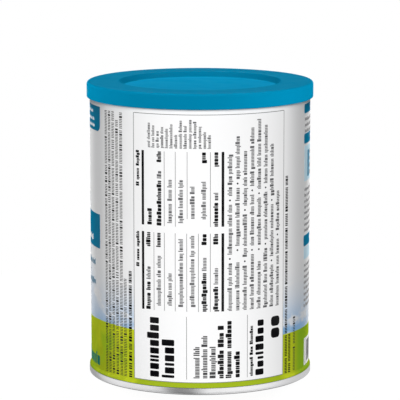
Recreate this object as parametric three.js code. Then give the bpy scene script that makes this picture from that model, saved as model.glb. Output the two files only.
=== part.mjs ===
// A round tin of toddler formula powder, shut: a printed can body, a rolled metal end
// with its seam under it, and a plastic overcap on top.
// Millimetres, +Z up, with the origin at the middle of the ring that the tin stands on.
import * as THREE from "three";

// Driving dimensions of the whole
const segments = 96;
const curveSteps = 2;
const gap = 0.3; // between pieces that touch

// The can body
const bodyRadius = 50.7;
const flareHeight = 1.9; // the wall opens out to the seam over this height
const flareStep = 0.1; // how far the flared foot stays inside the seam
const canHeight = 134.7; // top of the can's own rim, under the overcap
const rimWidth = 2.2;
const rimSlope = 0.4;

// The rolled end and its seam
const seamRadius = 51.6;
const seamHeight = 3.0;
const seamTopRound = 0.35;
const footInner = 49.9; // the flat ring that the tin stands on
const footOuter = 50.9;
const seamInner = 49.0; // where the end's wall leaves the seam
const endWallLean = 1.2;
const endThickness = 1.0;
const endWallThickness = 0.3;
const countersinkDepth = 3.9; // the deepest ring of the end, beside its wall
const countersinkWidth = 1.3;
const panelStep = 0.7; // width of the slope between countersink and panel
const panelDepth = 3.1;
const beadRadius = 35.0; // middle of the pressed ring on the panel
const beadWidth = 5.0;
const beadHeight = 0.6;
const beadSlope = 0.9;

// The overcap
const lidRadius = 52.1;
const lidBottom = 128.8;
const lidTop = 135.9;
const lidWall = 0.9;
const lidEdgeRound = 1.2;
const lidFootRound = 0.3;
const recessRadius = 37.2; // of the dished middle, at the top plane
const recessDepth = 2.5;
const recessLean = 1.5; // how far the recess wall leans in
const recessRound = 0.7; // at the recess wall's top and foot
const snapBeadHeight = 0.9;

// Levels and radii that more than one piece meets
const endTop = countersinkDepth + endThickness;
const endSide = seamInner + endWallThickness;
const recessFloor = lidTop - recessDepth;

// Turns a closed outline of radius and height round the upright axis. The outline starts
// and ends on the axis and runs outwards along its underside first.
function turned(outline) {
  const geometry = new THREE.LatheGeometry(outline.getPoints(curveSteps), segments);
  geometry.rotateX(Math.PI / 2);
  return geometry;
}

function piece(name, outline, look) {
  const mesh = new THREE.Mesh(turned(outline), new THREE.MeshStandardMaterial(look));
  mesh.name = name;
  return mesh;
}

// The metal end: the seam that the tin stands on, the wall that rises inside it, and the
// panel with its countersink and one pressed ring.
function baseEndOutline() {
  const footRound = seamRadius - footOuter;
  const wallTop = seamInner - endWallLean;
  const panelRadius = wallTop - countersinkWidth - panelStep;
  const beadInner = beadRadius - beadWidth / 2;
  const beadOuter = beadRadius + beadWidth / 2;
  const outline = new THREE.Path();
  outline.moveTo(0, panelDepth);
  outline.lineTo(beadInner, panelDepth);
  outline.lineTo(beadInner + beadSlope, panelDepth + beadHeight);
  outline.lineTo(beadOuter - beadSlope, panelDepth + beadHeight);
  outline.lineTo(beadOuter, panelDepth);
  outline.lineTo(panelRadius, panelDepth);
  outline.lineTo(panelRadius + panelStep, countersinkDepth);
  outline.lineTo(wallTop, countersinkDepth);
  outline.lineTo(seamInner, footRound);
  outline.lineTo(footInner, 0);
  outline.lineTo(footOuter, 0);
  outline.absarc(footOuter, footRound, footRound, -Math.PI / 2, 0, false);
  outline.absarc(
    seamRadius - seamTopRound, seamHeight - seamTopRound, seamTopRound,
    0, Math.PI / 2, false,
  );
  outline.lineTo(endSide, seamHeight);
  outline.lineTo(endSide, endTop);
  outline.lineTo(0, endTop);
  return outline;
}

// The can body, solid because the tin is shut. It follows the end below, opens out to the
// seam at its foot in an S curve, and has the rim on top that carries the overcap.
function canBodyOutline() {
  const foot = seamHeight + gap;
  const flareRadius = seamRadius - flareStep;
  const flareMiddle = (bodyRadius + flareRadius) / 2;
  const rimInner = bodyRadius - rimWidth;
  const topLevel = recessFloor - lidWall - gap;
  const outline = new THREE.Path();
  outline.moveTo(0, endTop + gap);
  outline.lineTo(endSide + gap, endTop + gap);
  outline.lineTo(endSide + gap, foot);
  outline.lineTo(flareRadius, foot);
  outline.quadraticCurveTo(
    flareRadius, foot + flareHeight * 0.3,
    flareMiddle, foot + flareHeight * 0.5,
  );
  outline.quadraticCurveTo(
    bodyRadius, foot + flareHeight * 0.7,
    bodyRadius, foot + flareHeight,
  );
  outline.lineTo(bodyRadius, canHeight);
  outline.lineTo(rimInner, canHeight);
  outline.lineTo(rimInner - rimSlope, topLevel);
  outline.lineTo(0, topLevel);
  return outline;
}

// The overcap: a thin cup turned over, with a flat ring round a shallow recess, a rounded
// top edge, and a small bead inside the skirt that snaps over the can.
function lidOutline() {
  const floorRadius = recessRadius - recessLean;
  const underRing = lidTop - lidWall;
  const underFloor = recessFloor - lidWall;
  const skirtInner = lidRadius - lidWall;
  const beadInner = bodyRadius + gap;
  const beadTop = lidBottom + snapBeadHeight;
  const outline = new THREE.Path();
  outline.moveTo(0, underFloor);
  outline.lineTo(floorRadius + lidWall, underFloor);
  outline.lineTo(recessRadius + lidWall, underRing);
  outline.lineTo(skirtInner, underRing);
  outline.lineTo(skirtInner, beadTop + snapBeadHeight / 2);
  outline.lineTo(beadInner, beadTop);
  outline.lineTo(beadInner, beadTop - snapBeadHeight / 2);
  outline.lineTo(skirtInner, lidBottom);
  outline.absarc(
    lidRadius - lidFootRound, lidBottom + lidFootRound, lidFootRound,
    -Math.PI / 2, 0, false,
  );
  outline.absarc(
    lidRadius - lidEdgeRound, lidTop - lidEdgeRound, lidEdgeRound,
    0, Math.PI / 2, false,
  );
  outline.lineTo(recessRadius + recessRound, lidTop);
  outline.quadraticCurveTo(
    recessRadius, lidTop,
    recessRadius - recessLean / 2, lidTop - recessDepth / 2,
  );
  outline.quadraticCurveTo(
    floorRadius, recessFloor,
    floorRadius - recessRound, recessFloor,
  );
  outline.lineTo(0, recessFloor);
  return outline;
}

const tin = new THREE.Group();
tin.name = "formula_tin";
tin.add(piece("base_end", baseEndOutline(), { color: 0xc4c5c8, roughness: 0.3, metalness: 0.9 }));
tin.add(piece("can_body", canBodyOutline(), { color: 0xf2f3f5, roughness: 0.3, metalness: 0.0 }));
tin.add(piece("lid", lidOutline(), { color: 0x0085ae, roughness: 0.38, metalness: 0.0 }));

export default tin;
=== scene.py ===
# A shut round tin of toddler formula powder in a white studio: a printed wall, a blue plastic
# overcap and a rolled tinplate end. The tin is drawn in millimetres, and makePiece turns them into
# metres. Places on the wall are an arc, measured round it from the camera's side, and a level.
import math
import random

import bpy
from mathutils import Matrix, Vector


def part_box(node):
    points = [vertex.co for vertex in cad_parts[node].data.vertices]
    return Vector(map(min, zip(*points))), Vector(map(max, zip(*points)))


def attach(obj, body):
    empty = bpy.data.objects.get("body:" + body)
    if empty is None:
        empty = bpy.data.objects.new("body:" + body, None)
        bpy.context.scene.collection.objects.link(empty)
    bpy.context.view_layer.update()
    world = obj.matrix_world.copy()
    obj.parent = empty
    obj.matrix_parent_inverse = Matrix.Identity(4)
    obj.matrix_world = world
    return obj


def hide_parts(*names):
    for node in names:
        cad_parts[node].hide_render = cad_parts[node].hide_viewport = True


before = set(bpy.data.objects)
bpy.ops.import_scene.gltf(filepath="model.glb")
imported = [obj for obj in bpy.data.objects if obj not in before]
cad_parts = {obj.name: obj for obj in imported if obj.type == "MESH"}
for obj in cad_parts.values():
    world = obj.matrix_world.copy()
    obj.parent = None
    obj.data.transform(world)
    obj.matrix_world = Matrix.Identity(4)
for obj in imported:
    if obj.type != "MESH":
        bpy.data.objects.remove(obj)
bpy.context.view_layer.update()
print("frame loaded:", ", ".join(sorted(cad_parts)))

mm = 0.001


def nodeSize(node):
    low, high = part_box(node)
    return high.x / mm, low.z / mm, high.z / mm


lidRadius, lidBottom, lidTop = nodeSize("lid")
flareRadius, wallFoot, canTop = nodeSize("can_body")
seamRadius, standLevel, endTop = nodeSize("base_end")

tinWall = {
    "radius": 50.7,
    "flareHeight": 1.9,     # the wall opens out to the seam over this height
    "flareSteps": 12,
    "footRound": 0.06,
    "edgeRound": 0.35,
    "rimWidth": 2.2,
    "rimSlope": 0.4,
    "rimDepth": 2.5,
    "recess": 1.9,          # how far the wall's foot hangs down round the end
    "socketInset": 2.0,     # from the seam in to the hollow of the foot
    "columns": 720,
    "rows": 16,
    "overlapArc": 117.0,    # the printed sheet's outer edge
    "overlapRise": 0.16,
    "overlapRun": 16.0,     # the sheet climbs over its own start along this stretch
    "overlapEdge": 0.03,    # run of the step down at its edge
}
girth = 2 * math.pi * tinWall["radius"]


def smooth(share):
    share = min(1.0, max(0.0, share))
    return share * share * (3 - 2 * share)


def apart(arc, centre):
    # distance round the wall, the shorter way
    return abs((arc - centre + girth / 2) % girth - girth / 2)


def bump(arc, centre, halfWidth):
    distance = apart(arc, centre)
    if distance >= halfWidth:
        return 0.0
    return 0.5 * (1 + math.cos(math.pi * distance / halfWidth))


def wallRadiusAt(arc, level):
    flare = 1 - smooth((level - wallFoot) / tinWall["flareHeight"])
    before = (tinWall["overlapArc"] - arc) % girth
    rise = tinWall["overlapRise"] * (1 - smooth(before / tinWall["overlapRun"]))
    if level > lidBottom + 1:
        rise = 0    # the overcap hides the wall's top, which stays round
    return tinWall["radius"] + (flareRadius - tinWall["radius"]) * flare + rise


def onWall(arc, level, lift):
    radius = wallRadiusAt(arc, level) + lift
    turn = arc / tinWall["radius"]
    return radius * math.sin(turn), -radius * math.cos(turn), level


def roundCorner(x, z, radius, start, end, steps):
    # points of an arc round (x, z), in degrees from straight out
    found = []
    for i in range(steps + 1):
        turn = math.radians(start + (end - start) * i / steps)
        found.append((x + radius * math.cos(turn), z + radius * math.sin(turn)))
    return found


def addObject(name, data):
    added = bpy.data.objects.new(name, data)
    bpy.context.scene.collection.objects.link(added)
    return added


def addMesh(name, points, faces, material):
    mesh = bpy.data.meshes.new(name)
    mesh.from_pydata(points, [], faces)
    mesh.materials.append(material)
    return addObject(name, mesh)


def makePiece(name, points, faces, material, crease=35):
    piece = addMesh(name, [(x * mm, y * mm, z * mm) for x, y, z in points], faces, material)
    piece.data.polygons.foreach_set("use_smooth", [True] * len(faces))
    piece.data.set_sharp_from_angle(angle=math.radians(crease))
    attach(piece, "root")
    return piece


def turnedMesh(profile, turns, radiusShift=None):
    # turns a profile of radius and level, which starts and ends on the axis, into a closed mesh
    points = []
    faces = []
    rings = []
    for radius, level in profile:
        if radius < 1e-6:
            rings.append([len(points)])
            points.append((0.0, 0.0, level))
            continue
        ring = []
        for turn in turns:
            shifted = radius + (radiusShift(turn, radius, level) if radiusShift else 0)
            ring.append(len(points))
            points.append((shifted * math.sin(turn), -shifted * math.cos(turn), level))
        rings.append(ring)
    count = len(turns)
    for lower, upper in zip(rings, rings[1:]):
        for j in range(count):
            k = (j + 1) % count
            if len(lower) == 1:
                faces.append((lower[0], upper[k], upper[j]))
            elif len(upper) == 1:
                faces.append((lower[j], lower[k], upper[0]))
            else:
                faces.append((lower[j], lower[k], upper[k], upper[j]))
    return points, faces


def evenTurns(count):
    return [2 * math.pi * i / count for i in range(count)]


# Shader helpers

def feed(tree, socket, value):
    if isinstance(value, bpy.types.NodeSocket):
        tree.links.new(value, socket)
    elif value is not None:
        socket.default_value = value


def addNode(tree, kind, *values, **named):
    # a shader node, with its inputs filled in their order or by name
    node = tree.nodes.new("ShaderNode" + kind)
    for socket, value in zip(node.inputs, values):
        feed(tree, socket, value)
    for title, value in named.items():
        feed(tree, node.inputs[title], value)
    return node


def calc(tree, operation, first, second=None):
    node = addNode(tree, "Math", first, second)
    node.operation = operation
    return node.outputs[0]


def times(tree, first, second):
    return calc(tree, "MULTIPLY", first, second)


def span(tree, value, fromLow, fromHigh, toLow=0.0, toHigh=1.0):
    node = addNode(tree, "MapRange", value, fromLow, fromHigh, toLow, toHigh)
    node.interpolation_type = "SMOOTHSTEP"
    return node.outputs[0]


def mixColours(tree, factor, first, second, blend="MIX"):
    node = addNode(tree, "Mix", factor)
    node.data_type = "RGBA"
    node.blend_type = blend
    feed(tree, node.inputs[6], first)
    feed(tree, node.inputs[7], second)
    return node.outputs[2]


def noise(tree, vector, scale, detail=2.0, roughness=0.5):
    node = addNode(tree, "TexNoise", Vector=vector, Scale=scale, Detail=detail, Roughness=roughness)
    return node.outputs[0]


def scaled(tree, vector, sizes):
    node = addNode(tree, "VectorMath", vector, sizes)
    node.operation = "MULTIPLY"
    return node.outputs[0]


def place(tree):
    return addNode(tree, "TexCoord").outputs["Object"]


def fromArc(tree, spot, arc):
    # how far round the wall a point is from an arc, to either side
    return calc(tree, "ABSOLUTE", calc(tree, "SUBTRACT", spot["Arc"], arc))


def newGroup(name, inputs, outputs):
    tree = bpy.data.node_groups.new(name, "ShaderNodeTree")
    for title, value in inputs.items():
        socket = tree.interface.new_socket(title, in_out="INPUT", socket_type="NodeSocketFloat")
        socket.default_value = value
    for title in outputs:
        tree.interface.new_socket(title, in_out="OUTPUT", socket_type="NodeSocketFloat")
    return tree, tree.nodes.new("NodeGroupInput").outputs, tree.nodes.new("NodeGroupOutput").inputs


def useGroup(tree, group, **values):
    node = tree.nodes.new("ShaderNodeGroup")
    node.node_tree = group
    for title, value in values.items():
        feed(tree, node.inputs[title], value)
    return node.outputs


def makeWallPlace():
    # arc and level on the wall, and the distance from the axis, all in millimetres
    tree, _, results = newGroup("wallPlace", {}, ("Arc", "Level", "Reach"))
    x, y, z = addNode(tree, "SeparateXYZ", place(tree)).outputs
    turn = calc(tree, "ARCTAN2", x, times(tree, y, -1.0))
    reach = calc(tree, "SQRT", calc(tree, "ADD", times(tree, x, x), times(tree, y, y)))
    feed(tree, results["Arc"], times(tree, turn, tinWall["radius"]))
    feed(tree, results["Level"], times(tree, z, 1 / mm))
    feed(tree, results["Reach"], times(tree, reach, 1 / mm))
    return tree


def makeFineGrain():
    # a height for the bump and a slow mask, for paper tooth and moulded texture
    tree, given, results = newGroup("fineGrain", {"Size": 0.4, "Patch": 12.0}, ("Height", "Mask"))
    fine = noise(tree, place(tree), calc(tree, "DIVIDE", 1 / mm, given["Size"]), 3.0, 0.6)
    slow = noise(tree, place(tree), calc(tree, "DIVIDE", 1 / mm, given["Patch"]), 2.0, 0.5)
    feed(tree, results["Height"], fine)
    feed(tree, results["Mask"], span(tree, slow, 0.35, 0.65))
    return tree


handMarks = {
    "scale": 60.0,
    "stretch": 0.45,        # along the tin's height
    "edges": (0.42, 0.72),
}


def makeHandling():
    # faint dull smudges where hands hold the tin
    tree, given, results = newGroup("handling", {"Base": 0.3, "Rise": 0.06}, ("Roughness",))
    drawn = scaled(tree, place(tree), (1.0, 1.0, handMarks["stretch"]))
    smudge = span(tree, noise(tree, drawn, handMarks["scale"], 4.0, 0.62), *handMarks["edges"])
    risen = times(tree, smudge, given["Rise"])
    feed(tree, results["Roughness"], calc(tree, "ADD", risen, given["Base"]))
    return tree


wallPlace = makeWallPlace()
fineGrain = makeFineGrain()
handling = makeHandling()


def newMaterial(name, **values):
    material = bpy.data.materials.new(name)
    material.use_nodes = True
    shader = material.node_tree.nodes["Principled BSDF"]
    for title, value in values.items():
        shader.inputs[title.replace("_", " ")].default_value = value
    return material, material.node_tree, shader.inputs


def addBump(tree, height, distance, strength, sockets):
    bump = addNode(tree, "Bump", Height=height, Distance=distance * mm, Strength=strength)
    feed(tree, sockets["Normal"], bump.outputs[0])


printFinish = {
    "sheen": 0.7,           # the matt varnish lightens where it is seen along the surface
    "sheenSpread": 0.3,
    "sheenLift": 1.2,       # how much lighter than the ink the sheen's own hue is
    "roughness": 0.3,
    "smudge": 0.07,
    "toothSize": 0.5,
    "toothPatch": 15.0,
    "toothDepth": 0.004,
    "toothStrength": 0.25,
    "gloss": 0.25,
    "unevenInk": 0.03,
    "paintedFlareShade": (0.6, 0.68, 0.9, 1),   # painted shade: the print is darkened where the wall opens out and tilts up to the light
    "paintedShadeRise": 2.6,
}


def printMaterial(name, colour):
    # sheet and inks under one varnish, whose sheen takes the ink's own hue
    hue = tuple(min(1.0, printFinish["sheenLift"] * part) for part in colour[:3]) + (1,)
    return newMaterial(name, Specular_IOR_Level=printFinish["gloss"], Sheen_Weight=printFinish["sheen"],
                       Sheen_Roughness=printFinish["sheenSpread"], Sheen_Tint=hue)


def finishPrint(tree, sockets):
    # the varnish over sheet and inks
    rough = useGroup(tree, handling, Base=printFinish["roughness"], Rise=printFinish["smudge"])
    feed(tree, sockets["Roughness"], rough["Roughness"])
    grain = useGroup(tree, fineGrain, Size=printFinish["toothSize"], Patch=printFinish["toothPatch"])
    addBump(tree, grain["Height"], printFinish["toothDepth"], printFinish["toothStrength"], sockets)
    return grain["Mask"]


sheetInk = {
    "white": (0.962, 0.964, 0.968, 1),
    # the paper's colour under painted shade
    "paintedShade": (0.8, 0.802, 0.808, 1),
    # painted shade, in bands on either side of the facts panel where the wall turns from the light: arc,
    # full within, gone beyond, strength
    "paintedShadeBands": ((58.0, 4.0, 17.0, 1.0), (-59.0, 2.0, 11.0, 0.85)),
    "mottle": 0.12,
    "sky": (0.27, 0.5, 0.79, 1),
    "horizon": 26.0,            # level where the sky is strongest
    "fadeTop": (60.0, 150.0),   # level where it has gone, beside the panel and on the front
    "falloff": (2.8, 2.0),      # how fast it goes, in the same places
    "frontArc": 190.0,          # middle of the front
    "frontEdges": (45.0, 72.0),
    "cloudSize": 17.0,
    "cloudFlat": 1.9,
    "cloudEdges": (0.49, 0.62),
    "cloudCover": 0.85,
}


def makeSheetMaterial():
    material, tree, sockets = printMaterial("printed sheet", sheetInk["white"])
    patch = finishPrint(tree, sockets)
    spot = useGroup(tree, wallPlace)
    # the way to the middle of the front, round either side
    overRight = fromArc(tree, spot, sheetInk["frontArc"])
    overLeft = fromArc(tree, spot, sheetInk["frontArc"] - girth)
    nearest = calc(tree, "MINIMUM", overRight, overLeft)
    front = span(tree, nearest, *sheetInk["frontEdges"], 1.0, 0.0)
    top = span(tree, front, 0.0, 1.0, *sheetInk["fadeTop"])
    below = calc(tree, "SUBTRACT", top, spot["Level"])
    depth = calc(tree, "DIVIDE", below, calc(tree, "SUBTRACT", top, sheetInk["horizon"]))
    depth = calc(tree, "MAXIMUM", calc(tree, "MINIMUM", depth, 1.0), 0.0)
    sky = calc(tree, "POWER", depth, span(tree, front, 0.0, 1.0, *sheetInk["falloff"]))
    drawn = scaled(tree, place(tree), (1.0, 1.0, sheetInk["cloudFlat"]))
    clouded = noise(tree, drawn, 1 / (sheetInk["cloudSize"] * mm), 4.0, 0.55)
    cloud = times(tree, span(tree, clouded, *sheetInk["cloudEdges"]), sheetInk["cloudCover"])
    blue = times(tree, sky, calc(tree, "SUBTRACT", 1.0, cloud))
    # the paper's mottle, then painted shade in bands beside the panel
    mottleAndPaintedShade = times(tree, patch, sheetInk["mottle"])
    for arc, full, gone, strength in sheetInk["paintedShadeBands"]:
        band = span(tree, fromArc(tree, spot, arc), full, gone, strength, 0.0)
        mottleAndPaintedShade = calc(tree, "MAXIMUM", mottleAndPaintedShade, band)
    paper = mixColours(tree, mottleAndPaintedShade, sheetInk["white"], sheetInk["paintedShade"])
    feed(tree, sockets["Base Color"], mixColours(tree, blue, paper, sheetInk["sky"]))
    return material


def inkMaterial(name, colour):
    # one ink, a little uneven as print is
    material, tree, sockets = printMaterial(name, colour)
    patch = finishPrint(tree, sockets)
    shift = printFinish["unevenInk"]
    thin = tuple(part + shift * (1 - part) for part in colour[:3]) + (1,)
    factor = times(tree, patch, 0.5)
    feed(tree, sockets["Base Color"], mixColours(tree, factor, colour, thin))
    return material


meadowInks = {
    # lime, leaf and straw
    "meadow": ((0.33, 0.437, 0.0145, 1), (0.24, 0.48, 0.02, 1), (0.66, 0.73, 0.025, 1)),
    "far meadow": ((0.2, 0.42, 0.07, 1), (0.12, 0.34, 0.09, 1), (0.33, 0.5, 0.06, 1)),
}
meadowPatches = {
    "leafScale": 105.0,
    "leafEdges": (0.45, 0.58),
    "strawScale": 62.0,
    "strawEdges": (0.36, 0.58),
    "stretch": 0.7,         # along the tin's height
    "evenArc": 8.0,         # the print is even about this arc, under the facts panel
    "leafReach": (40.0, 52.0),
    "strawReach": (36.0, 41.0),
    "lushArc": 62.0,        # greenest beside the guide
    "lushReach": (5.0, 12.0),
    "lushRise": (3.5, 6.0),
    "sunnyArc": -46.0,      # yellowest left of the panel
    "sunnyReach": (14.0, 22.0),
    "brightArc": 47.0,      # a yellow edge right of the panel
    "brightReach": (2.0, 8.0),
    "crest": (18.5, 24.5),  # levels over which the hilltops turn yellow
}


def makeMeadowMaterial(name, lime, leaf, straw):
    material, tree, sockets = printMaterial(name, lime)
    finishPrint(tree, sockets)
    spot = useGroup(tree, wallPlace)
    look = meadowPatches
    drawn = scaled(tree, place(tree), (1.0, 1.0, look["stretch"]))
    green = span(tree, noise(tree, drawn, look["leafScale"], 3.0, 0.55), *look["leafEdges"])
    warm = span(tree, noise(tree, drawn, look["strawScale"], 3.0, 0.55), *look["strawEdges"], 0.3, 1.0)
    away = fromArc(tree, spot, look["evenArc"])
    beside = span(tree, away, *look["leafReach"], 0.0, 0.8)
    lush = fromArc(tree, spot, look["lushArc"])
    lushRise = span(tree, spot["Level"], *look["lushRise"])
    lushHere = times(tree, span(tree, lush, *look["lushReach"], 0.9, 0.0), lushRise)
    greener = calc(tree, "MAXIMUM", times(tree, green, beside), lushHere)
    sunny = span(tree, fromArc(tree, spot, look["sunnyArc"]), *look["sunnyReach"], 0.9, 0.3)
    warmed = times(tree, times(tree, warm, sunny), span(tree, away, *look["strawReach"]))
    crest = times(tree, span(tree, spot["Level"], *look["crest"], 0.0, 0.75), beside)
    bright = span(tree, fromArc(tree, spot, look["brightArc"]), *look["brightReach"], 0.55, 0.0)
    warmed = calc(tree, "MAXIMUM", calc(tree, "MAXIMUM", crest, warmed), bright)
    warmed = times(tree, warmed, span(tree, lush, *look["lushReach"], 0.15, 1.0))
    printed = mixColours(tree, warmed, mixColours(tree, greener, lime, leaf), straw)
    # painted shade: darker meadow at the sides, low down where the wall opens out towards the light
    flareShadeTop = wallFoot + printFinish["paintedShadeRise"]
    flareShadeMask = times(tree, span(tree, spot["Level"], wallFoot, flareShadeTop, 1.0, 0.0), beside)
    flareShaded = mixColours(tree, flareShadeMask, printed, printFinish["paintedFlareShade"], "MULTIPLY")
    feed(tree, sockets["Base Color"], flareShaded)
    return material


inks = {
    "white": (0.95, 0.951, 0.955, 1),
    "black": (0.003, 0.003, 0.004, 1),
    "charcoal": (0.05, 0.05, 0.053, 1),
    "grey": (0.12, 0.12, 0.125, 1),
    "softGrey": (0.3, 0.3, 0.305, 1),
    "rule": (0.2, 0.2, 0.205, 1),
    "brown": (0.03, 0.029, 0.028, 1),
    "teal": (0.003, 0.19, 0.34, 1),
    "paleBlue": (0.56, 0.76, 0.88, 1),
    "slate": (0.16, 0.27, 0.36, 1),
    "sea": (0.012, 0.2, 0.15, 1),
}

sheetMaterial = makeSheetMaterial()
inkMaterials = {name: inkMaterial(name + " ink", colour) for name, colour in inks.items()}
for name, colours in meadowInks.items():
    inkMaterials[name] = makeMeadowMaterial(name + " ink", *colours)
print("print materials made")


# The tin's wall

def makeWall():
    radius = tinWall["radius"]
    flareHeight = tinWall["flareHeight"]
    footRound = tinWall["footRound"]
    edgeRound = tinWall["edgeRound"]
    foot = wallFoot
    shelf = foot + tinWall["recess"]
    socket = seamRadius - tinWall["socketInset"]
    profile = [(0, shelf), (socket * 0.5, shelf), (socket - 0.4, shelf)]
    profile += [(socket, shelf - 0.2), (socket, foot)]
    profile += [(flareRadius - 0.08, foot), (flareRadius, foot + footRound)]
    for i in range(1, tinWall["flareSteps"] + 1):
        level = foot + footRound + (flareHeight - footRound) * i / tinWall["flareSteps"]
        flare = 1 - smooth((level - foot) / flareHeight)
        profile.append((radius + (flareRadius - radius) * flare, level))
    low = profile[-1][1]
    high = canTop - edgeRound
    for i in range(1, tinWall["rows"] + 1):
        profile.append((radius, low + (high - low) * i / tinWall["rows"]))
    profile += roundCorner(radius - edgeRound, high, edgeRound, 0, 90, 4)[1:]
    rimInner = radius - tinWall["rimWidth"]
    topFloor = canTop - tinWall["rimDepth"]
    profile += [(rimInner, canTop), (rimInner - tinWall["rimSlope"], topFloor)]
    profile += [(rimInner * 0.5, topFloor), (0, topFloor)]
    # two columns stand close together where the sheet's outer edge steps down
    edge = tinWall["overlapArc"] / radius
    turns = evenTurns(tinWall["columns"])
    step = turns[1]
    turns = [turn for turn in turns if abs(turn - edge) > step * 0.4]
    turns = sorted(turns + [edge, edge + tinWall["overlapEdge"] / radius])

    plainArc = tinWall["overlapArc"] + 5    # past the edge, where nothing is lapped

    def climb(turn, reach, level):
        if reach < radius - 0.01:
            return 0
        return wallRadiusAt(turn * radius, level) - wallRadiusAt(plainArc, level)

    points, faces = turnedMesh(profile, turns, climb)
    wall = makePiece("printedWall", points, faces, sheetMaterial, 28)
    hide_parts("can_body")


makeWall()
print("wall made")


# Printed fields and marks: thin closed slabs that follow the wall

printLift = {
    "far": 0.012,
    "field": 0.022,
    "panel": 0.034,
    "rule": 0.046,
    "mark": 0.058,
    "ring": 0.07,
    "badge": 0.082,
}
printSink = 0.03


def roundEnd(corner, steps):
    # how far along and how far in the points of a rounded end lie
    turns = [math.pi / 2 * i / steps for i in range(steps + 1)]
    return [(corner * (1 - math.cos(turn)), corner * (1 - math.sin(turn))) for turn in turns]


class Print:
    def __init__(self, name, ink, dice=None, up=False):
        self.name = name
        self.ink = ink
        self.dice = dice
        self.up = up        # its rows run up the tin, not round it
        self.points = []
        self.faces = []

    def slab(self, columns, layer, closed=False):
        # columns are (arc, levels), with as many levels in each
        rows = len(columns[0][1])
        start = len(self.points)
        for arc, levels in columns:
            for depth in (printLift[layer], -printSink):
                for level in levels:
                    self.points.append(onWall(arc, level, depth))

        def at(column, side, row):
            return start + (column % len(columns)) * 2 * rows + side * rows + row

        last = len(columns) if closed else len(columns) - 1
        loop = [(0, row) for row in range(rows)] + [(1, row) for row in reversed(range(rows))]
        for c in range(last):
            for (a, i), (b, j) in zip(loop, loop[1:] + loop[:1]):
                self.faces.append((at(c, a, i), at(c + 1, a, i), at(c + 1, b, j), at(c, b, j)))
        if closed:
            return
        for r in range(rows - 1):
            self.faces.append((at(0, 0, r), at(0, 0, r + 1), at(0, 1, r + 1), at(0, 1, r)))
            self.faces.append((at(last, 0, r + 1), at(last, 0, r), at(last, 1, r), at(last, 1, r + 1)))

    def block(self, arcLow, arcHigh, low, high, layer, corner=0.0, steps=1):
        # a field with rounded corners
        corner = min(corner, (arcHigh - arcLow) * 0.48, (high - low) * 0.48)
        ends = roundEnd(corner, steps) if corner > 0 else [(0.0, 0.0)]
        inner = [(arcLow + along, inset) for along, inset in ends]
        outer = [(arcHigh - along, inset) for along, inset in reversed(ends)]
        gap = outer[0][0] - inner[-1][0]
        fill = max(0, math.ceil(gap / 2.0) - 1)
        middle = [(inner[-1][0] + gap * (i + 1) / (fill + 1), 0.0) for i in range(fill)]
        columns = [(arc, (low + inset, high - inset)) for arc, inset in inner + middle + outer]
        self.slab(columns, layer)

    def stripe(self, arc, half, low, high):
        self.block(arc - half, arc + half, low, high, "rule")

    def disc(self, arc, level, radius, layer, steps=9):
        columns = []
        for i in range(steps + 1):
            turn = math.pi * i / steps
            half = max(0.03, radius * math.sin(turn))
            columns.append((arc - radius * math.cos(turn), (level - half, level + half)))
        self.slab(columns, layer)

    def word(self, start, end, base, look):
        # a row of rounded blocks of random width and height
        dice = self.dice
        stem, slit, gap, low, tall, tail, corner, solid = letterLooks[look]
        letters = []
        length = 0.0
        while length < end - start - stem - slit:
            draw = dice.random()
            if draw < solid:
                strokes = [2 * stem + slit * 0.7]
            elif draw < 0.77:
                strokes = [stem, stem]
            elif draw < 0.95 or stem > 1:
                strokes = [stem]
            else:
                strokes = [stem, stem, stem]
            letters.append(strokes)
            length += sum(strokes) + slit * (len(strokes) - 1) + gap
        scale = (end - start) / (length - gap)
        steps = 4 if corner > 0.3 else 1
        along = start
        for order, strokes in enumerate(letters):
            draw = dice.random()
            risen = dice.randrange(len(strokes)) if draw > 0.7 or (order == 0 and draw > 0.3) else -1
            hung = dice.randrange(len(strokes)) if draw < 0.08 else -1
            for i, stroke in enumerate(strokes):
                top = tall if i == risen else low
                drop = tail if i == hung else 0.0
                after = along + stroke * scale
                if self.up:
                    self.block(base - top, base + drop, along, after, "mark", corner, steps)
                else:
                    self.block(along, after, base - drop, base + top, "mark", corner, steps)
                along = after + (slit if i < len(strokes) - 1 else gap) * scale

    def words(self, spans, base, look):
        for start, end in spans:
            self.word(start, end, base, look)

    def line(self, start, end, base, look, letters=(2, 11), space=1.0):
        # fills a stretch with groups of blocks of random length
        stem, slit, gap = letterLooks[look][:3]
        pitch = 2 * stem + slit + gap
        along = start
        while along < end - pitch * 2:
            width = pitch * self.dice.randint(*letters)
            if along + width > end - pitch * 2.5:
                width = end - along
            self.word(along, along + width, base, look)
            along += width + space

    def finish(self):
        makePiece(self.name, self.points, self.faces, inkMaterials[self.ink])


meadow = {
    "foot": wallFoot + 0.03,
    "height": 23.9,
    "hills": ((-50.0, 84.0, 4.4), (188.0, 52.0, 11.0), (130.0, 45.0, 3.0)),  # arc, half width, height
    "farHills": ((160.0, 44.0, 17.0), (206.0, 34.0, 13.0)),
    "step": 1.0,
    "flareRows": 8,
    "farSteps": 80,
    "tuckedUnder": 3.0,     # how far the far hills reach down behind the near ones
}


def meadowTop(arc):
    rises = [rise * bump(arc, centre, half) for centre, half, rise in meadow["hills"]]
    return meadow["height"] + sum(rises)


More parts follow.
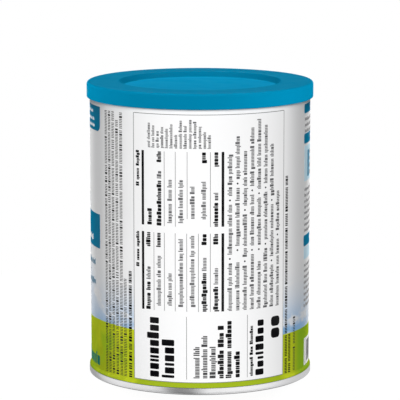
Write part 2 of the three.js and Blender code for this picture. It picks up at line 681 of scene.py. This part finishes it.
def makeMeadow():
    near = Print("meadowField", "meadow")
    count = round(girth / meadow["step"])
    arcs = [girth * i / count for i in range(count)]
    edge = tinWall["overlapArc"]
    arcs = [arc for arc in arcs if abs(arc - edge) > meadow["step"] * 0.4]
    arcs = sorted(arcs + [edge, edge + tinWall["overlapEdge"]])
    rows = meadow["flareRows"]
    flareRise = tinWall["flareHeight"] - 0.03
    flareLevels = [meadow["foot"] + flareRise * i / rows for i in range(rows + 1)]
    near.slab([(arc, flareLevels + [meadowTop(arc)]) for arc in arcs], "field", closed=True)
    near.finish()
    far = Print("farHills", "far meadow")
    for centre, half, rise in meadow["farHills"]:
        columns = []
        for i in range(meadow["farSteps"] + 1):
            arc = centre - half + i * 2 * half / meadow["farSteps"]
            floor = meadowTop(arc) - meadow["tuckedUnder"]
            columns.append((arc, (floor, floor + 1.5 + (rise + 1.5) * bump(arc, centre, half))))
        far.slab(columns, "far")
    far.finish()


makeMeadow()
print("meadow made")


panel = {
    "left": -31.5,
    "right": 42.2,
    "low": 5.55,
    "high": 126.4,
    "frameWidth": 0.28,
}


def makePanel():
    field = Print("factsPanel", "white")
    field.block(panel["left"], panel["right"], panel["low"], panel["high"], "panel")
    field.finish()


# Rows of small rounded blocks stand for the small print. Those on the facts side read up the tin.

letterLooks = {
    # stem width, slit inside a block, gap between blocks, height of a low block, of a tall one,
    # depth of a tail, corner round, share of solid blocks
    "headline": (1.2, 0.45, 0.7, 4.4, 5.9, 0.0, 0.45, 0.55),
    "title": (1.25, 0.5, 0.85, 3.3, 4.4, 0.0, 0.6, 0.7),
    "number": (2.2, 0.0, 0.9, 5.2, 5.2, 0.0, 1.5, 1.0),
    "bold": (0.64, 0.14, 0.19, 1.7, 2.25, 0.5, 0.2, 0.5),
    "servingBold": (0.74, 0.13, 0.19, 1.95, 2.75, 0.6, 0.2, 0.6),
    "smallBold": (0.45, 0.11, 0.15, 1.15, 1.65, 0.4, 0.0, 0.45),
    "light": (0.42, 0.2, 0.26, 1.5, 2.1, 0.5, 0.0, 0.25),
    "medium": (0.52, 0.2, 0.3, 1.95, 2.7, 0.7, 0.0, 0.3),
    "foot": (0.3, 0.14, 0.2, 1.05, 1.5, 0.35, 0.0, 0.25),
    "caps": (0.29, 0.34, 0.43, 1.75, 1.75, 0.0, 0.0, 0.13),
    "capsBold": (0.42, 0.24, 0.3, 1.7, 1.7, 0.0, 0.0, 0.28),
}
factsHeading = (
    # look, arc of the row's foot, groups of blocks from and to
    ("headline", -18.8, ((7.4, 34.7),)),
    ("headline", -11.6, ((7.4, 24.9),)),
    ("servingBold", 10.7, ((7.4, 20.2), (21.7, 28.2), (29.6, 31.5))),
    ("servingBold", 14.3, ((7.4, 19.6), (21.1, 33.5))),
    ("servingBold", 18.2, ((7.4, 19.3),)),
    ("smallBold", 24.7, ((7.4, 16.1), (17.1, 20.9), (22.0, 30.4))),
    ("title", 30.4, ((7.4, 32.8),)),
    ("number", 39.8, ((23.4, 33.4),)),
)
factsServing = (
    (-0.2, ((7.6, 17.0), (17.9, 21.9))),
    (3.3, ((7.6, 20.9), (22.0, 27.0))),
    (7.0, ((7.6, 22.0),)),
)
factsRows = (
    # arc of the row's foot, bold groups, light groups
    (-22.8, ((38.2, 45.6), (46.9, 50.7), (66.8, 73.2)), ((51.9, 57.6),)),
    (-17.8, ((66.8, 73.2),), ((40.2, 52.1), (53.1, 56.2), (57.4, 62.8))),
    (-12.7, (), ((40.5, 47.0), (47.7, 50.7), (51.6, 55.1))),
    (-7.6, (), ((40.1, 60.2), (61.0, 64.3), (65.1, 70.8))),
    (-2.5, (), ((40.2, 61.9), (63.0, 65.7), (66.8, 72.4))),
    (2.9, ((38.1, 55.6), (68.3, 73.2)), ((56.6, 62.5),)),
    (8.1, ((38.1, 49.3), (68.5, 73.2)), ((50.4, 57.7),)),
    (-22.1, ((76.7, 84.0),), ()),
    (-17.5, ((76.5, 96.7), (105.0, 109.8)), ((97.7, 101.0),)),
    (-12.6, (), ((77.9, 86.5), (87.9, 92.8), (93.9, 97.3))),
    (-7.6, (), ((78.1, 84.0), (84.8, 93.0), (93.9, 97.3))),
    (-2.4, (), ((80.1, 90.2), (91.2, 94.5))),
    (2.6, ((105.0, 109.8),), ((79.9, 87.8), (88.7, 96.7))),
    (8.1, ((76.5, 87.2), (103.4, 109.8)), ((88.3, 91.7),)),
)
factsGrid = {
    "columns": ((38.0, 73.4), (76.4, 109.9)),
    "bars": (-26.6, 10.2),
    "barHalf": 0.6,
    "rules": ((-21.1, -16.1, -11.1, -5.9, -0.7, 4.6), (-16.1, -11.0, -5.7, 4.6)),
    "shortRule": (-5.7, 3.6),       # its arc, and how much later it starts
    "sideRules": (-6.0, 21.9),
    "sideSpan": (7.0, 35.7),
    "ruleHalf": 0.12,
    "captionArc": -28.6,
    "caption": ((16.2, 14.4), (13.4, 8.3), (7.2, 0.2)),     # over each column, down from its end
}
vitaminLines = {
    "start": 38.1,
    "first": 14.4,
    "pitch": 3.55,
    # where each line ends, and the dots along it
    "lines": (
        (108.6, (61.7, 88.1)),
        (116.6, (65.5, 95.5)),
        (109.8, (60.2, 83.4)),
        (120.1, (65.1, 92.0)),
        (123.7, (65.1, 90.4)),
        (120.8, (67.2, 92.7)),
        (112.0, (59.2, 86.7)),
        (93.9, (70.6,)),
    ),
    "dotRadius": 0.42,
    "dotGap": 2,
}
footNote = {
    "start": 111.4,
    "first": -22.9,
    "pitch": 2.13,
    "ends": (122.3, 121.2, 118.8, 120.7, 120.0, 122.0, 117.4,
             123.8, 121.5, 124.2, 123.4, 121.2, 118.8, 117.4),
}


def makeFactsPrint():
    dice = random.Random(7)
    rules = Print("panelRules", "rule")
    bars = Print("panelBars", "black")
    strong = Print("boldWords", "black", dice, True)
    faint = Print("lightWords", "grey", dice, True)
    serving = Print("servingWords", "charcoal", dice, True)
    half = panel["frameWidth"] / 2
    ruleHalf = factsGrid["ruleHalf"]
    for arc in (panel["left"], panel["right"]):
        rules.stripe(arc, half, panel["low"], panel["high"])
    for level in (panel["low"], panel["high"]):
        rules.block(panel["left"] + half, panel["right"] - half, level - half, level + half, "rule")
    shortArc, late = factsGrid["shortRule"]
    for (low, high), arcs in zip(factsGrid["columns"], factsGrid["rules"]):
        for arc in arcs:
            start = low + late if arc == shortArc else low
            rules.stripe(arc, ruleHalf, start, high)
        for arc in factsGrid["bars"]:
            bars.stripe(arc, factsGrid["barHalf"], low, high)
    for arc in factsGrid["sideRules"]:
        rules.stripe(arc, ruleHalf, *factsGrid["sideSpan"])
    for look, base, words in factsHeading:
        strong.words(words, base, look)
    for base, words in factsServing:
        serving.words(words, base, "medium")
    for base, boldWords, lightWords in factsRows:
        strong.words(boldWords, base, "bold")
        faint.words(lightWords, base, "light")
    for low, high in factsGrid["columns"]:
        for start, end in factsGrid["caption"]:
            strong.word(high - start, high - end, factsGrid["captionArc"], "smallBold")
    gap = vitaminLines["dotGap"]
    for i, (end, dots) in enumerate(vitaminLines["lines"]):
        base = vitaminLines["first"] + vitaminLines["pitch"] * i
        start = vitaminLines["start"]
        for dot in dots + (end + gap,):
            faint.line(start, dot - gap, base, "light", (3, 9))
            start = dot + gap
        for dot in dots:
            strong.disc(base - 1.0, dot, vitaminLines["dotRadius"], "mark")
    for i, end in enumerate(footNote["ends"]):
        base = footNote["first"] + footNote["pitch"] * i
        faint.line(footNote["start"], end, base, "foot", (2, 9), 0.75)
    for piece in (rules, bars, strong, faint, serving):
        piece.finish()


sidePrint = {
    "left": -49.2,      # arc of the first line's foot
    "pitch": 2.72,
    "lines": 5,
    "low": 5.6,
    "high": 125.6,
    "lastLine": (-35.9, 53.9),      # arc and end of a line
    "lastBold": (-32.9, 54.4),
    "rightBold": ((45.3, 96.5), (47.9, 23.4)),
    "rightFaint": (51.9, 30.8),
}


def makeSidePrint():
    dice = random.Random(11)
    text = Print("sideWords", "brown", dice, True)
    strong = Print("sideBoldWords", "black", dice, True)
    low = sidePrint["low"]
    for i in range(sidePrint["lines"]):
        base = sidePrint["left"] + sidePrint["pitch"] * i
        text.line(low, sidePrint["high"], base, "caps")
    base, end = sidePrint["lastLine"]
    text.line(low, end, base, "caps")
    for base, end in (sidePrint["lastBold"],) + sidePrint["rightBold"]:
        strong.line(low, end, base, "capsBold")
    base, end = sidePrint["rightFaint"]
    text.line(low + 0.3, end, base, "caps", (5, 9), 1.7)
    text.finish()
    strong.finish()


makePanel()
makeFactsPrint()
makeSidePrint()
print("facts side printed")


# The feeding guide to the right of the facts panel

guide = {
    "left": 61.0,
    "right": 110.0,
    "headers": ((122.8, 127.0), (108.9, 113.5), (61.4, 66.5)),
    "headerWords": (13.0, 8.0),     # in from the left and the right
    "fields": ((91.6, 107.8), (55.4, 61.0)),
    "fieldInset": 0.6,
    "textTop": 119.5,
    "textLow": 31.0,
    "textPitch": 2.7,
    "textRise": 2,
    "clear": (1.2, 0.2),            # kept free under and over a header or a field
}
guideSteps = {
    # four bars in the upper field, with short rows beside each
    "count": 4,
    "first": 5.9,
    "pitch": 10.9,
    "width": 3.4,
    "above": 1.6,
    "under": 2.4,
    "words": (4.5, 9.7),
    "wordRows": 4,
    "wordFirst": 2.0,
    "wordPitch": 3.2,
}
barcode = {
    "left": 62.6,
    "right": 97.4,
    "low": 4.4,
    "high": 18.1,
    "quiet": 4.8,
    "margins": (1.0, 2.4, 1.4),     # the white field's foot, the bars' foot and their top
    "widths": (0.66, 0.99, 0.99, 1.32),
    "gaps": (0.33, 0.33, 0.66, 0.99),
}


def makeBarcode(white, bars, dice):
    # bars of random width
    low, high = barcode["low"], barcode["high"]
    whiteFoot, barFoot, barTop = barcode["margins"]
    white.block(barcode["left"], barcode["right"], low + whiteFoot, high, "panel")
    along = barcode["left"] + barcode["quiet"]
    while along < barcode["right"] - barcode["quiet"]:
        width = dice.choice(barcode["widths"])
        bars.block(along, along + width, low + barFoot, high - barTop, "mark")
        along += width + dice.choice(barcode["gaps"])


def makeGuide():
    dice = random.Random(23)
    teal = Print("guideHeaders", "teal")
    fields = Print("guideFields", "paleBlue")
    text = Print("guideWords", "softGrey", dice)
    white = Print("guideWhite", "white", dice)
    bars = Print("guideBars", "black")
    left, right = guide["left"], guide["right"]
    inLeft, inRight = guide["headerWords"]
    for low, high in guide["headers"]:
        teal.block(left, right, low, high, "panel", 0.9, 4)
        foot = (low + high) / 2 - 0.75
        white.line(left + inLeft, right - inRight, foot, "light", (3, 9))
    for low, high in guide["fields"]:
        fields.block(left + guide["fieldInset"], right - guide["fieldInset"], low, high, "field")
    low, high = guide["fields"][0]
    part = guideSteps
    wordStart, wordEnd = part["words"]
    for i in range(part["count"]):
        arc = left + part["first"] + i * part["pitch"]
        foot, top = low + part["above"], high - part["under"]
        teal.block(arc, arc + part["width"], foot, top, "panel", 0.3)
        for k in range(part["wordRows"]):
            level = low + part["wordFirst"] + part["wordPitch"] * k
            text.word(arc + wordStart, arc + wordEnd, level, "light")
    under, over = guide["clear"]
    taken = [(low - under, high + over) for low, high in guide["headers"] + guide["fields"]]
    level = guide["textTop"]
    while level > guide["textLow"]:
        top = level + guide["textRise"]
        if not any(low < level < high or low < top < high for low, high in taken):
            end = right - dice.uniform(1, 18)
            text.line(left + 0.8, end, level, "foot", (2, 9), 0.9)
        level -= guide["textPitch"]
    makeBarcode(white, bars, dice)
    for piece in (teal, fields, text, white, bars):
        piece.finish()


makeGuide()
print("guide printed")


# The front of the pack, which carries one large blank field

front = {
    "middle": 190.0,
    "tabLeft": girth - 118.0,
    "tabRight": girth - 55.7,
    "tab": (115.2, 126.5),
    "tabCorner": 3.0,
    "tabLines": ((123.1, 9.4), (119.6, 7.4), (116.7, 6.8)),     # level, and how far short of the right
    "bannerLeft": 128.0,
    "bannerRight": girth - 56.4,
    "banner": (61.3, 77.1),
    # in from the left and the right, rise, look, blocks in a group, space between groups
    "bannerLines": ((6, 22, 8.2, "title", (4, 8), 2.4), (6, 9.6, 2.8, "medium", (4, 9), 1.6)),
    "slogan": (girth - 62.5, (53.0, 44.0)),
    "footWord": (girth - 78.0, girth - 57.6, 6.6),
    "blankHalf": 36.0,
    "blank": (83.0, 110.0),
    "sealPlace": (222.0, 30.0),
    # ink, radius, layer, steps
    "seal": (("teal", 11.0, "mark", 30), ("white", 9.8, "ring", 28), ("teal", 9.0, "badge", 28)),
}


def makeTab(teal):
    # the tab under the overcap, with one rounded corner at its lower right
    low, high = front["tab"]
    corner = reversed(roundEnd(front["tabCorner"], 6))
    rounded = [(front["tabRight"] - along, (low + inset, high)) for along, inset in corner]
    width = rounded[0][0] - front["tabLeft"]
    count = math.ceil(width / 1.2)
    straight = [(front["tabLeft"] + width * i / count, (low, high)) for i in range(count)]
    teal.slab(straight + rounded, "panel")


def makeFront():
    dice = random.Random(31)
    teal = Print("frontTeal", "teal")
    white = Print("frontWhite", "white", dice)
    slate = Print("frontWords", "slate", dice)
    sea = Print("frontFootWords", "sea", dice)
    makeTab(teal)
    start = front["tabLeft"] + 4
    for base, short in front["tabLines"]:
        white.line(start, front["tabRight"] - short, base, "foot", (3, 9))
    low, high = front["banner"]
    left, right = front["bannerLeft"], front["bannerRight"]
    teal.block(left, right, low, high, "panel", 0.2)
    for inLeft, inRight, rise, look, letters, space in front["bannerLines"]:
        white.line(left + inLeft, right - inRight, low + rise, look, letters, space)
    end, levels = front["slogan"]
    for base in levels:
        slate.line(front["middle"] + 8, end, base, "medium", (4, 9), 1.5)
    start, end, base = front["footWord"]
    sea.word(start, end, base, "headline")
    start, end = front["middle"] - front["blankHalf"], front["middle"] + front["blankHalf"]
    white.block(start, end, *front["blank"], "panel", 9.0, 8)
    discs = {"teal": teal, "white": white}
    for ink, radius, layer, steps in front["seal"]:
        discs[ink].disc(*front["sealPlace"], radius, layer, steps)
    for piece in (teal, white, slate, sea):
        piece.finish()


makeFront()
print("front printed")


# The overcap

overcap = {
    "wall": 0.9,
    "edgeRound": 1.25,
    "footRound": 0.3,
    "insideRound": 0.5,
    "skirtRows": 5,
    "recessRadius": 37.2,
    "recessDepth": 2.5,
    "recessLean": 1.5,
    "fillet": 0.75,
    "beadHeight": 0.9,
    "beadGap": 0.3,
    "columns": 512,
    "blue": (0.0, 0.216, 0.393, 1),
    # painted shade on the recess wall round the floor
    "paintedShadeBlue": (0.0, 0.2, 0.355, 1),
    "recessBlue": (0.0, 0.312, 0.565, 1),
    "flowBlue": (0.0, 0.175, 0.325, 1),
    "flow": 0.12,
    "satin": 0.42,
    "smudge": 0.08,
    "floorPolish": 0.08,
    "grainSize": 0.16,
    "grainDepth": 0.006,
    "gloss": 0.1,
    "sheen": 0.25,
    "sheenHue": (0.0, 0.53, 0.9, 1),
}
recessFloor = lidTop - overcap["recessDepth"]
recessFloorRadius = overcap["recessRadius"] - overcap["recessLean"]


def makeLidMaterial():
    material, tree, sockets = newMaterial("overcap plastic", Specular_IOR_Level=overcap["gloss"],
                                          Sheen_Weight=overcap["sheen"], Sheen_Roughness=0.3,
                                          Sheen_Tint=overcap["sheenHue"])
    spot = useGroup(tree, wallPlace)
    # a lighter, smoother floor in the recess, and painted shade: a darker wall round it
    edge = recessFloorRadius + 0.2
    outer = overcap["recessRadius"]
    above = span(tree, spot["Level"], recessFloor - 0.3, recessFloor - 0.1)
    floor = times(tree, span(tree, spot["Reach"], edge - 0.8, edge, 1.0, 0.0), above)
    recessWallShade = times(tree, span(tree, spot["Reach"], outer - 0.2, outer + 0.3, 1.0, 0.0), above)
    blue = mixColours(tree, recessWallShade, overcap["blue"], overcap["paintedShadeBlue"])
    blue = mixColours(tree, floor, blue, overcap["recessBlue"])
    flow = noise(tree, scaled(tree, place(tree), (1.0, 1.0, 0.4)), 34.0, 3.0, 0.5)
    uneven = times(tree, span(tree, flow, 0.3, 0.7), overcap["flow"])
    feed(tree, sockets["Base Color"], mixColours(tree, uneven, blue, overcap["flowBlue"]))
    rough = useGroup(tree, handling, Base=overcap["satin"], Rise=overcap["smudge"])
    polished = times(tree, floor, overcap["floorPolish"])
    feed(tree, sockets["Roughness"], calc(tree, "SUBTRACT", rough["Roughness"], polished))
    grain = useGroup(tree, fineGrain, Size=overcap["grainSize"], Patch=14.0)
    addBump(tree, grain["Height"], overcap["grainDepth"], 0.3, sockets)
    return material


def makeLid():
    wall = overcap["wall"]
    foot = overcap["footRound"]
    edge = overcap["edgeRound"]
    fillet = overcap["fillet"]
    insideRound = overcap["insideRound"]
    recess = overcap["recessRadius"]
    under = recessFloor - wall
    underRing = lidTop - wall
    skirtInner = lidRadius - wall
    beadInner = tinWall["radius"] + overcap["beadGap"]
    beadTop = lidBottom + overcap["beadHeight"]
    # the underside, out to the skirt's foot
    profile = [(0, under), (recessFloorRadius * 0.5, under), (recessFloorRadius + wall * 0.6, under)]
    profile += [(recessFloorRadius + wall + 0.3, under + 0.35), (recess + wall, underRing - 0.3)]
    profile += [(recess + wall + 0.4, underRing), (skirtInner - insideRound, underRing)]
    inside = roundCorner(skirtInner - insideRound, underRing - insideRound, insideRound, 90, 0, 4)
    profile += inside[1:]
    profile += [(skirtInner, beadTop + 0.45), (beadInner + 0.05, beadTop), (beadInner, beadTop - 0.1)]
    profile += [(beadInner, beadTop - 0.4), (skirtInner - 0.1, lidBottom)]
    profile += roundCorner(lidRadius - foot, lidBottom + foot, foot, -90, 0, 6)
    # up the skirt and over the edge
    low = lidBottom + foot
    high = lidTop - edge
    for i in range(1, overcap["skirtRows"]):
        profile.append((lidRadius, low + (high - low) * i / overcap["skirtRows"]))
    profile += roundCorner(lidRadius - edge, high, edge, 0, 90, 10)
    # the recess wall, with a fillet at its top and foot, and the dished floor
    lean = math.degrees(math.atan2(overcap["recessDepth"], overcap["recessLean"]))
    shift = fillet * math.tan(math.radians(lean / 2))
    profile += roundCorner(recess + shift, lidTop - fillet, fillet, 90, 90 + lean, 8)
    profile += roundCorner(recessFloorRadius - shift, recessFloor + fillet, fillet, lean - 90, -90, 8)
    profile += [(reach, recessFloor) for reach in (30.0, 22.0, 14.0, 7.0, 0.0)]
    points, faces = turnedMesh(profile, evenTurns(overcap["columns"]))
    lid = makePiece("overcap", points, faces, makeLidMaterial(), 30)
    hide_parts("lid")
    return lid


lid = makeLid()
print("overcap made")


# The rolled tinplate end

rolledEnd = {
    "seamHeight": wallFoot - 0.04,
    "footInner": 49.9,
    "footOuter": 50.9,
    "seamInner": 49.0,
    "wallLean": 1.2,
    "bulge": 0.13,
    "shoulder": 0.5,
    "countersink": 3.9,
    "panelDepth": 3.1,
    "countersinkWidth": 1.3,
    "step": 0.7,
    "beads": ((22.0, 1.6, 0.3), (35.0, 2.5, 0.6)),  # middle, half width, height
    "beadSteps": 12,
    "faceSteps": 8,
    "columns": 512,
    "bright": (0.91, 0.91, 0.915, 1),
    "worn": (0.83, 0.83, 0.84, 1),
    "polish": 0.17,
    "dullness": 0.08,
    "rollerMarks": 0.1,
    "grainAlong": 0.012,    # the roller's marks run round the rim
}


def makeTinplate():
    material, tree, sockets = newMaterial("tinplate", Metallic=1.0)
    part = rolledEnd
    spot = useGroup(tree, wallPlace)
    around = times(tree, spot["Arc"], part["grainAlong"])
    joined = addNode(tree, "CombineXYZ", spot["Reach"], around, spot["Level"])
    roller = noise(tree, joined.outputs[0], 5.0, 4.0, 0.6)
    worn = noise(tree, place(tree), 90.0, 3.0, 0.5)
    tone = mixColours(tree, span(tree, roller, 0.3, 0.7), part["bright"], part["worn"])
    feed(tree, sockets["Base Color"], tone)
    dull = times(tree, span(tree, worn, 0.35, 0.7), part["dullness"])
    dull = calc(tree, "ADD", dull, times(tree, roller, part["rollerMarks"]))
    feed(tree, sockets["Roughness"], calc(tree, "ADD", dull, part["polish"]))
    addBump(tree, roller, 0.006, 0.35, sockets)
    return material


def makeEnd():
    part = rolledEnd
    footRound = seamRadius - part["footOuter"]
    seamInner = part["seamInner"]
    wallTop = seamInner - part["wallLean"]
    panelEdge = wallTop - part["countersinkWidth"] - part["step"]
    groove = panelEdge + part["step"]
    sunk = part["countersink"]
    depth = part["panelDepth"]
    # the pressed panel, its countersink and the inside of the seam
    profile = [(0, depth)]
    for middle, half, height in part["beads"]:
        for i in range(part["beadSteps"] + 1):
            along = -1 + 2 * i / part["beadSteps"]
            profile.append((middle + half * along, depth + height * 0.5 * (1 + math.cos(math.pi * along))))
    profile += [(panelEdge - 0.3, depth), (panelEdge + 0.1, depth + 0.12), (groove - 0.1, sunk - 0.12)]
    profile += [(groove + 0.2, sunk), (wallTop - 0.35, sunk), (wallTop - 0.05, sunk - 0.25)]
    profile += [(seamInner - 0.05, footRound + 0.2), (seamInner + 0.15, footRound - 0.15)]
    profile += [(part["footInner"] - 0.25, 0.08), (part["footInner"], 0)]
    profile += roundCorner(part["footOuter"], footRound, footRound, -90, 0, 8)[:-1]
    # the seam's face, very slightly bulged, and its shoulder
    shoulder = part["shoulder"]
    high = part["seamHeight"] - shoulder
    for i in range(part["faceSteps"] + 1):
        along = i / part["faceSteps"]
        pull = part["bulge"] * (2 * along - 1) ** 2
        profile.append((seamRadius - pull, footRound + (high - footRound) * along))
    profile += roundCorner(seamRadius - part["bulge"] - shoulder, high, shoulder, 8, 90, 8)
    side = seamInner + 0.3
    profile += [(side, part["seamHeight"]), (side, endTop), (0, endTop)]
    points, faces = turnedMesh(profile, evenTurns(part["columns"]))
    end = makePiece("tinplateEnd", points, faces, makeTinplate(), 40)
    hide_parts("base_end")
    return end


end = makeEnd()
print("tinplate end made")


# The white studio, in metres

studio = {
    "floorRadius": 0.25,
    "floorSides": 96,
    "floorGlow": 0.93,
    "floorDrop": 0.00002,   # keeps the seam's ring clear of the floor
    "ambient": 0.045,
}


def bareMaterial(name):
    material = bpy.data.materials.new(name)
    material.use_nodes = True
    material.cycles.emission_sampling = "NONE"
    tree = material.node_tree
    tree.nodes.clear()
    return material, tree, addNode(tree, "OutputMaterial").inputs[0]


def makeFloor():
    # mostly glow, with a little matt white that shows the tin's shadow, and clear from below
    material, tree, surface = bareMaterial("white floor")
    matt = addNode(tree, "BsdfDiffuse", (0.95, 0.95, 0.95, 1))
    glow = addNode(tree, "Emission")
    clear = addNode(tree, "BsdfTransparent")
    lit = addNode(tree, "MixShader", studio["floorGlow"], matt.outputs[0], glow.outputs[0])
    below = addNode(tree, "NewGeometry").outputs["Backfacing"]
    sided = addNode(tree, "MixShader", below, lit.outputs[0], clear.outputs[0])
    feed(tree, surface, sided.outputs[0])
    sides = studio["floorSides"]
    reach = studio["floorRadius"]
    points = [(reach * math.cos(turn), reach * math.sin(turn), 0) for turn in evenTurns(sides)]
    floor = addMesh("floor", points, [list(range(sides))], material)
    floor.location.z = standLevel * mm - studio["floorDrop"]
    floor.visible_diffuse = False
    floor.visible_glossy = False


def makeWorld():
    # white to the camera, faint to matt surfaces and dark to glossy ones
    world = bpy.data.worlds.new("studio")
    bpy.context.scene.world = world
    world.use_nodes = True
    world.cycles.sampling_method = "NONE"
    tree = world.node_tree
    tree.nodes.clear()
    ray = addNode(tree, "LightPath").outputs
    soft = times(tree, ray["Is Diffuse Ray"], studio["ambient"])
    strength = calc(tree, "ADD", ray["Is Camera Ray"], soft)
    backdrop = addNode(tree, "Background", (1, 1, 1, 1), strength)
    addNode(tree, "OutputWorld", backdrop.outputs[0])


softBoxes = {
    "radius": 2.5,
    "reach": 84,            # degrees up and down
    "columns": 48,
    "rings": 24,
    # the darker stretches that the metal end mirrors: azimuth, half width, depth
    "gaps": (
        (-19.0, 27.0, 0.76),
        (102.0, 36.0, 0.12),
        (-62.0, 30.0, 0.15),
        (180.0, 115.0, 0.4),
        (-146.0, 32.0, 0.4),
    ),
    "below": 0.6,
}


def makeSoftBoxLight():
    material, tree, surface = bareMaterial("soft box light")
    unit = scaled(tree, place(tree), (1 / softBoxes["radius"],) * 3)
    x, y, z = addNode(tree, "SeparateXYZ", unit).outputs
    flat = calc(tree, "SUBTRACT", 1.0, times(tree, z, z))
    flat = calc(tree, "SQRT", calc(tree, "MAXIMUM", flat, 0.001))
    light = calc(tree, "SUBTRACT", 1.0, span(tree, z, -0.65, -0.45, softBoxes["below"], 0.0))
    for azimuth, halfWidth, depth in softBoxes["gaps"]:
        turn = math.radians(azimuth)
        along = calc(tree, "ADD", times(tree, x, math.sin(turn)), times(tree, y, -math.cos(turn)))
        towards = calc(tree, "DIVIDE", along, flat)
        dark = span(tree, towards, math.cos(math.radians(halfWidth)), 1.0, 0.0, depth)
        light = times(tree, light, calc(tree, "SUBTRACT", 1.0, dark))
    feed(tree, surface, addNode(tree, "Emission", Strength=light).outputs[0])
    return material


def makeSoftBoxes():
    # a dome of light round the tin that only the metal end mirrors
    radius, reach = softBoxes["radius"], softBoxes["reach"]
    rise = radius * math.sin(math.radians(reach))
    profile = [(0, -rise)] + roundCorner(0, 0, radius, -reach, reach, softBoxes["rings"]) + [(0, rise)]
    points, faces = turnedMesh(profile, evenTurns(softBoxes["columns"]))
    dome = addMesh("softBoxes", points, faces, makeSoftBoxLight())
    dome.visible_camera = False
    dome.visible_diffuse = False
    dome.visible_shadow = False
    dome.visible_transmission = False
    return dome


lamps = {
    # azimuth, elevation, light on an upright surface that faces the lamp, spread, what it lights
    "key": (8.0, 24.0, 0.99, 46.0, "all but overcap"),
    "fill": (-75.0, 8.0, 0.2, 40.0, "all but overcap"),
    "backLeft": (-150.0, 40.0, 0.56, 16.0, "all"),
    "backRight": (156.0, 40.0, 0.58, 16.0, "all"),
    "capKey": (0.0, 6.0, 1.0, 50.0, "overcap"),
    "capLeft": (-122.0, -22.0, 1.42, 40.0, "overcap"),
    "capRight": (100.0, -22.0, 1.1, 40.0, "overcap"),
    "capTop": (180.0, 78.0, 0.17, 60.0, "overcap"),
}
sheens = {
    # azimuth, elevation, brightness in a mirror, spread: seen only as gloss on print and plastic
    "sheenHigh": (180.0, 48.0, 0.9, 30.0),
    "sheenHighLeft": (-60.0, 52.0, 0.8, 26.0),
    "sheenHighRight": (75.0, 52.0, 0.8, 26.0),
    "sheenBack": (180.0, -17.0, 0.9, 34.0),
}


def linkedTo(name, piece, state):
    group = bpy.data.collections.new(name)
    group.objects.link(piece)
    group.collection_objects[0].light_linking.link_state = state
    return group


def makeSun(name, azimuth, elevation, energy, spread, receivers):
    sun = bpy.data.lights.new(name, "SUN")
    sun.energy = energy
    sun.angle = math.radians(spread)
    # hits by chance would bring back the gloss that a lamp leaves out
    sun.cycles.use_multiple_importance_sampling = False
    lamp = addObject(name, sun)
    turn = math.radians(azimuth)
    rise = math.radians(elevation)
    source = Vector((math.sin(turn) * math.cos(rise), -math.cos(turn) * math.cos(rise), math.sin(rise)))
    lamp.location = source
    lamp.rotation_euler = (-source).to_track_quat("-Z", "Y").to_euler()
    if receivers:
        lamp.light_linking.receiver_collection = receivers
    return lamp


def makeLamps(dome, lid, end):
    chosen = {"all": None}
    for name, piece in (("overcap", lid), ("end", end)):
        chosen[name] = linkedTo(name, piece, "INCLUDE")
        chosen["all but " + name] = linkedTo("all but " + name, piece, "EXCLUDE")
    for name, (azimuth, elevation, light, spread, receivers) in lamps.items():
        energy = light * math.pi / math.cos(math.radians(elevation))
        lamp = makeSun(name, azimuth, elevation, energy, spread, chosen[receivers])
        lamp.visible_glossy = False
    for name, (azimuth, elevation, bright, spread) in sheens.items():
        energy = bright * math.pi * math.sin(math.radians(spread / 2)) ** 2
        lamp = makeSun(name, azimuth, elevation, energy, spread, chosen["all but end"])
        lamp.visible_diffuse = False
    dome.light_linking.receiver_collection = chosen["end"]


camera = {
    "distance": 1.0968,
    "height": 0.2640,
    "tilt": 9.52,
    "lens": 215.96,
    "sensor": 36,
    "clip": (0.01, 30),
}


def makeCamera():
    data = bpy.data.cameras.new("camera")
    data.lens = camera["lens"]
    data.sensor_width = camera["sensor"]
    data.clip_start, data.clip_end = camera["clip"]
    eye = addObject("camera", data)
    eye.location = (0, -camera["distance"], camera["height"])
    eye.rotation_euler = (math.radians(90 - camera["tilt"]), 0, 0)
    bpy.context.scene.camera = eye


makeFloor()
makeWorld()
makeLamps(makeSoftBoxes(), lid, end)
makeCamera()
bpy.context.scene.view_settings.view_transform = "Standard"
print("studio made")
